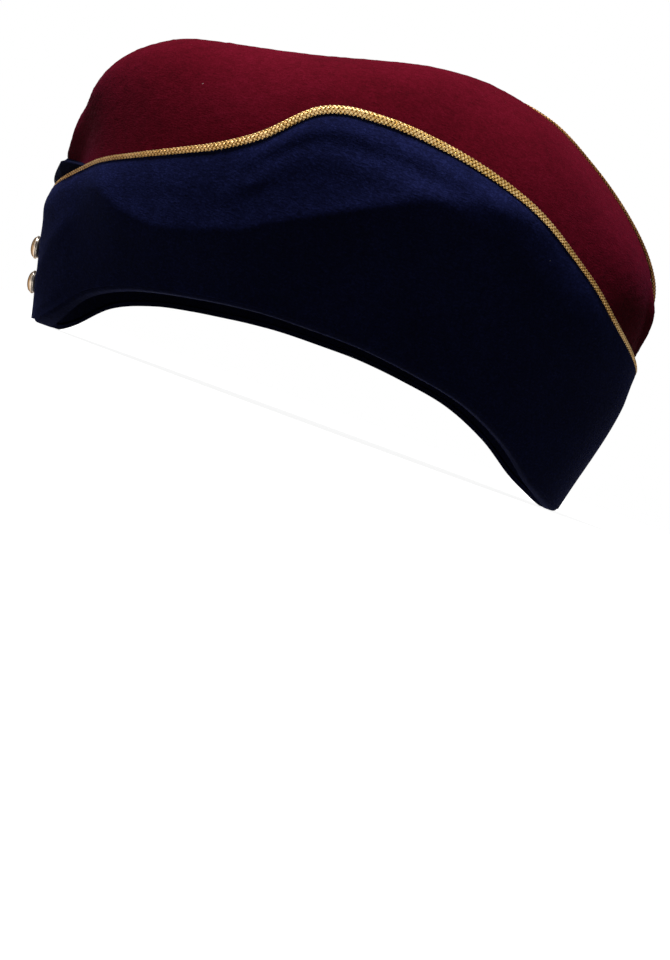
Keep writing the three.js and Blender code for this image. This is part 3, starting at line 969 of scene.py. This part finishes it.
# Length of the cap and of a centimetre in metres, and the phase of the thread's stripes for each millimetre
CAP_LENGTH = 0.25
CENTIMETRE = 0.01
THREADS = 30.0


def gold_braid(name):
    """Gold cord: each strand is wound with fine thread, drawn as stripes across its length. Its colour goes
    from dark brown in the gaps and on the core, as painted shade, to pale gold on the crests, as a painted
    highlight, by the distance from the cord's middle, and wanders slowly. It is darkened toward the front
    and the rear as painted shade, and is darker and browner near the centre plane, where the ridge cord lies."""
    finish = Finish(name)
    place = finish.place()
    thread = finish.math("SINE", finish.profile("Y") * THREADS)
    tone = finish.noise(place, scale=500, detail=3, roughness=0.6)
    wear = finish.noise(place, scale=45, detail=2, roughness=0.5)
    shade = finish.profile("X") + (tone - 0.5) * 0.36 + (wear - 0.5) * 0.3 + thread * 0.02
    # Share from the front to the rear of the cap, for the painted shade at both ends
    rearward = finish.part(place, "X") * (1 / CAP_LENGTH) + 0.5
    off_centre = finish.math("ABSOLUTE", finish.part(place, "Y")) * (1 / CENTIMETRE)
    # Painted shade in the gaps and a painted highlight on the crests, times painted shade toward the front
    # and rear
    colour = finish.times(finish.ramp(shade, GOLD_SHADE_AND_HIGHLIGHT_STOPS), finish.ramp(rearward, FRONT_REAR_SHADE_STOPS))
    return finish.surface(
        Base_Color=finish.times(colour, finish.ramp(off_centre, RIDGE_STOPS)),
        Metallic=0.7,
        Roughness=0.36 + (tone - 0.5) * 0.2,
        Normal=finish.bump(thread * 0.5 + tone, distance=0.00012, strength=0.6),
        Specular_IOR_Level=0.25, Coat_Weight=0.06, Coat_Roughness=0.25)


# Gilt of the buttons, by the height above the seat in units of 5 mm: pale on the drum as a painted highlight,
# dark on the dome as painted shade
GILT_LIGHT_AND_SHADE_STOPS = [
    (0.2, (0.86, 0.77, 0.66)), (0.4, (0.66, 0.52, 0.4)),
    (0.5, (0.34, 0.22, 0.12)), (0.66, (0.24, 0.15, 0.075))]


def gilt_metal(name):
    """Gilt brass: pale round the drum as a painted highlight, and darker on the dome as painted shade, with
    faint wear and dulled patches."""
    finish = Finish(name)
    place = finish.place()
    wear = finish.noise(place, scale=500, detail=4, roughness=0.6)
    patches = finish.noise(place, scale=140, detail=2, roughness=0.5)
    # Height above the seat paints a highlight on the drum and shade on the dome; the two noises are wear and
    # dulled patches
    painted_light_and_wear = finish.profile("X") * 0.2 + (wear - 0.5) * 0.2 + (patches - 0.5) * 0.2
    return finish.surface(
        Base_Color=finish.ramp(painted_light_and_wear, GILT_LIGHT_AND_SHADE_STOPS),
        Metallic=1.0,
        Roughness=0.2 + patches * 0.2,
        Normal=finish.bump(wear, distance=0.00006, strength=0.4),
        Specular_Tint=(0.16, 0.1, 0.06, 1))


def pale_floor(name):
    """Plain pale ground that grows to full white with the distance, to meet the surroundings evenly."""
    finish = Finish(name)
    distance = finish.node("ShaderNodeVectorMath", {"operation": "LENGTH"}, {0: finish.place()}, "Value")
    glow = finish.ramp(distance, [(0.15, (0.92, 0.92, 0.92)), (0.6, (1, 1, 1))])
    return finish.surface(
        Base_Color=(0.4, 0.4, 0.4, 1), Roughness=0.9, Emission_Color=glow, Emission_Strength=1.0)


MAROON = milled_wool(
    "maroon_wool", (0.066, 0.0014, 0.0048), (0.12, 0.0028, 0.0105), (0.18, 0.0062, 0.022),
    sheen_tint=(1.0, 0.12, 0.5, 1), sheen=0.035, lint=(0.5, 0.32, 0.34, 1))
NAVY = milled_wool(
    "navy_wool", (0.004, 0.005, 0.024), (0.0098, 0.013, 0.066), (0.027, 0.036, 0.165),
    sheen_tint=(0.25, 0.32, 1.0, 1), sheen=0.02, lint=(0.4, 0.42, 0.5, 1))
# The same navy cloth darkened as painted shade, for the front peak
SHADED_NAVY = milled_wool(
    "navy_wool_painted_shade", (0.002, 0.0022, 0.007), (0.0042, 0.005, 0.018), (0.011, 0.0135, 0.048),
    sheen_tint=(0.3, 0.36, 1.0, 1), sheen=0.02, lint=(0.4, 0.42, 0.5, 1))
GOLD = gold_braid("gold_braid")
GILT = gilt_metal("gilt_metal")

# Pieces

add_shell("band_cloth", band_loops(), NAVY, ("band",), is_ring=True)
add_shell("crown_left_cloth", crown_loops(0, 180), MAROON, ("crown_left",))
add_shell("crown_right_cloth", crown_loops(-180, 0), MAROON, ("crown_right",))
add_shell("flap_left_cloth", left_flap_loops(), NAVY, ("flap_left",))
add_shell("flap_right_cloth", right_flap_loops(), NAVY, ("flap_right",))
# The front peak wears the navy darkened as painted shade
add_shell("front_peak_cloth", peak_loops(), SHADED_NAVY, ("front_peak",))
add_braid("crown_cord", *ridge_route(CROWN_CORD), "gold_cord", GOLD, ("crown_piping",))
add_braid("flap_cord_left", *flap_route(LEFT_CORD, lap_lift), "gold_cord", GOLD, ("flap_piping_left",))
add_braid("flap_cord_right", *flap_route(RIGHT_CORD, no_lift), "gold_cord", GOLD, ("flap_piping_right",))
for node, height in BUTTON_HEIGHTS.items():
    add_button(node, height, GILT)

# Camera: the photograph's angle, a little above the floor and rolled, for an image of 670 by 960

IMAGE_HEIGHT = 960
FOCAL_PIXELS = 1715
CAMERA_PLACE = Vector((22.6 + CENTRE_SHIFT, -700, 9)) * MM
CAMERA_AIM = Vector((22.6 + CENTRE_SHIFT, 0, -18.75)) * MM
CAMERA_ROLL = math.radians(20.1)
SENSOR = 36.0
NEAREST = 0.01

photo_up = Vector((-math.sin(CAMERA_ROLL), 0, math.cos(CAMERA_ROLL)))
forward = (CAMERA_AIM - CAMERA_PLACE).normalized()
right = forward.cross(photo_up).normalized()
turned = Matrix((right, right.cross(forward), -forward)).transposed().to_4x4()
lens = bpy.data.cameras.new("camera")
lens.sensor_width = SENSOR
lens.lens = SENSOR * FOCAL_PIXELS / IMAGE_HEIGHT
lens.clip_start = NEAREST
camera = bpy.data.objects.new("camera", lens)
camera.matrix_world = Matrix.Translation(CAMERA_PLACE) @ turned
bpy.context.scene.collection.objects.link(camera)
bpy.context.scene.camera = camera

# Stage, in metres: a pale floor, white surroundings, a soft overhead light and a weak one from the front

FLOOR_HALF = 3.0
FLOOR_DROP = 0.0002
LIGHT_AIM = Vector((0, 0, 0.08))
LIGHT_DISTANCE = 1.6
KEY_DIRECTION = Vector((-0.2, -0.14, 0.97)).normalized()
KEY_SIZE = 0.32
KEY_WATTS = 28
FILL_DIRECTION = Vector((-1, 0.2, 0.15)).normalized()
FILL_SIZE = 0.8
FILL_WATTS = 2.6
# Strength of the surroundings for soft light, for reflections and for the camera
SURROUND_LIGHT = 0.05
SURROUND_GLOSS = 0.36
SURROUND_SEEN = 1.0

corners = np.array([[-1, -1, 0], [1, -1, 0], [1, 1, 0], [-1, 1, 0]]) * FLOOR_HALF - [0, 0, FLOOR_DROP]
ground = bpy.data.meshes.new("floor")
ground.from_pydata(corners.tolist(), [], [[0, 1, 2, 3]])
ground.materials.append(pale_floor("pale_floor"))
floor = bpy.data.objects.new("floor", ground)
floor.visible_diffuse = False
bpy.context.scene.collection.objects.link(floor)


def add_light(name, direction, size, watts):
    """Square soft light in a direction from the cap, turned to it."""
    place = direction * LIGHT_DISTANCE
    lamp = bpy.data.lights.new(name, "AREA")
    lamp.size = size
    lamp.energy = watts
    holder = bpy.data.objects.new(name, lamp)
    turn = (LIGHT_AIM - place).to_track_quat("-Z", "Y")
    holder.matrix_world = Matrix.Translation(place) @ turn.to_matrix().to_4x4()
    bpy.context.scene.collection.objects.link(holder)


add_light("key", KEY_DIRECTION, KEY_SIZE, KEY_WATTS)
add_light("fill", FILL_DIRECTION, FILL_SIZE, FILL_WATTS)

world = bpy.data.worlds.new("surroundings")
world.use_nodes = True
sky = Nodes(world.node_tree, "ShaderNodeOutputWorld")
is_gloss = sky.node("ShaderNodeLightPath", output="Is Glossy Ray")
is_seen = sky.node("ShaderNodeLightPath", output="Is Camera Ray")
strength = sky.mix(is_seen, sky.mix(is_gloss, SURROUND_LIGHT, SURROUND_GLOSS), SURROUND_SEEN)
sky.show(sky.node("ShaderNodeBackground", {}, {"Color": (1, 1, 1, 1), "Strength": strength}))
bpy.context.scene.world = world
bpy.context.scene.view_settings.view_transform = "Standard"
